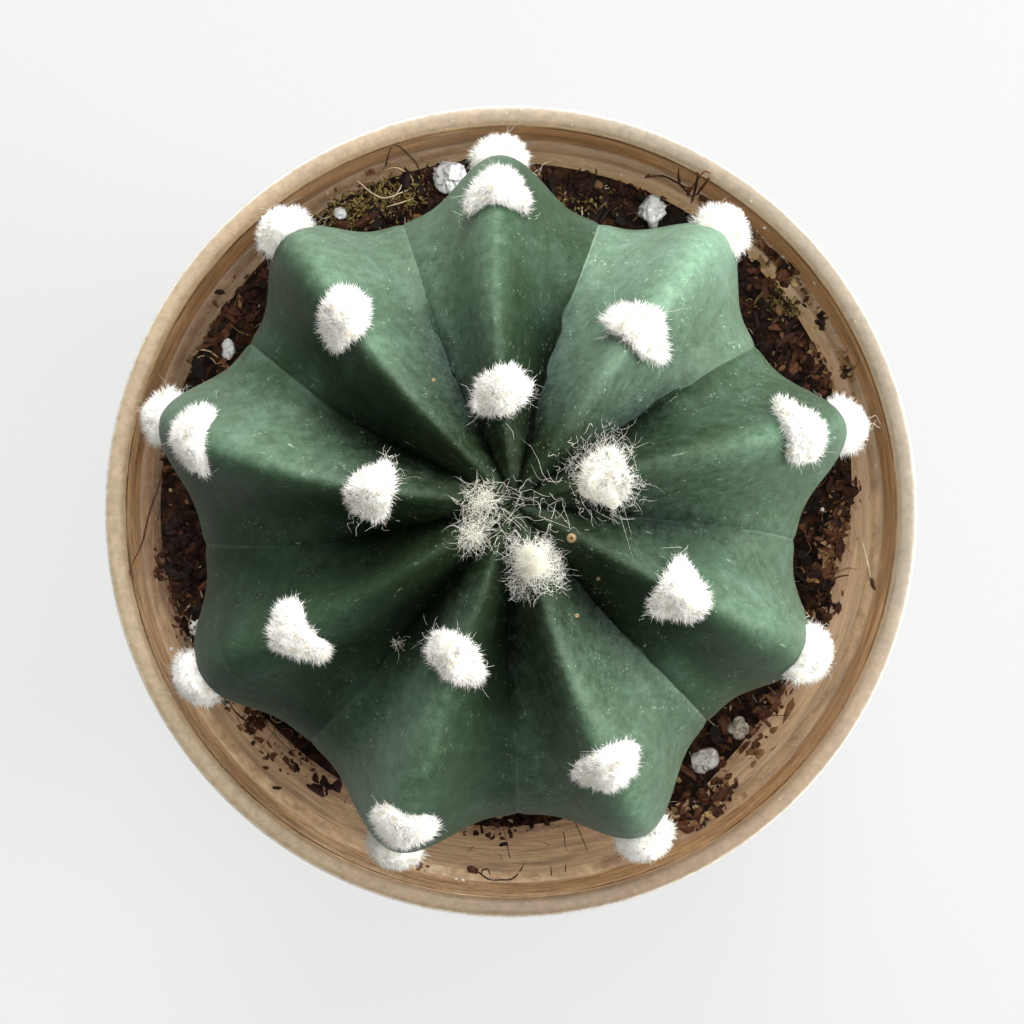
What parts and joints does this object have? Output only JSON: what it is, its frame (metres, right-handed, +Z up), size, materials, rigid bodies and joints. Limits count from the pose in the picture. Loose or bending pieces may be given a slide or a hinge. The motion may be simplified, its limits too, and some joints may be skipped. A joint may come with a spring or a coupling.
{
  "type": "potted echinopsis cactus",
  "caption": "Ribbed globular cactus with white woolly areoles, rooted in dark potting mix in a round tapered plastic nursery pot with a collar and a rounded lip.",
  "frame": {"origin": "centre of the pot's foot, on the surface it stands on", "axes": "+Z up out of the pot, +Y away from the viewer of the picture, +X to the right"},
  "size_m": [0.085, 0.085, 0.1024],
  "materials": {
    "pot_plastic": "satin",
    "potting_mix": "matte",
    "cactus_skin": "satin",
    "areole_wool": "matte",
    "perlite": "matte",
    "bark": "matte"
  },
  "bodies": {
    "root": {"areole_wool_02": "areole_wool", "areole_wool_03": "areole_wool", "areole_wool_04": "areole_wool", "areole_wool_05": "areole_wool", "areole_wool_06": "areole_wool", "areole_wool_07": "areole_wool", "areole_wool_08": "areole_wool", "areole_wool_09": "areole_wool", "areole_wool_10": "areole_wool", "areole_wool_11": "areole_wool", "areole_wool_12": "areole_wool", "areole_wool_13": "areole_wool", "areole_wool_14": "areole_wool", "areole_wool_15": "areole_wool", "areole_wool_16": "areole_wool", "areole_wool_17": "areole_wool", "areole_wool_18": "areole_wool", "areole_wool_19": "areole_wool", "areole_wool_20": "areole_wool", "areole_wool_21": "areole_wool", "areole_wool_22": "areole_wool", "areole_wool_23": "areole_wool", "areole_wool_24": "areole_wool", "areole_wool_25": "areole_wool", "areole_wool_26": "areole_wool", "areole_wool_27": "areole_wool", "areole_wool_28": "areole_wool", "areole_wool_29": "areole_wool", "areole_wool_30": "areole_wool", "areole_wool_crown": "areole_wool", "bark_chip_1": "bark", "bark_chip_2": "bark", "bark_chip_3": "bark", "bark_chip_4": "bark", "cactus_stem": "cactus_skin", "perlite_grain_1": "perlite", "perlite_grain_2": "perlite", "perlite_grain_3": "perlite", "perlite_grain_4": "perlite", "perlite_grain_5": "perlite", "perlite_grain_6": "perlite", "perlite_grain_7": "perlite", "perlite_grain_8": "perlite", "pot": "pot_plastic", "potting_mix": "potting_mix"}
  },
  "joints": []
}
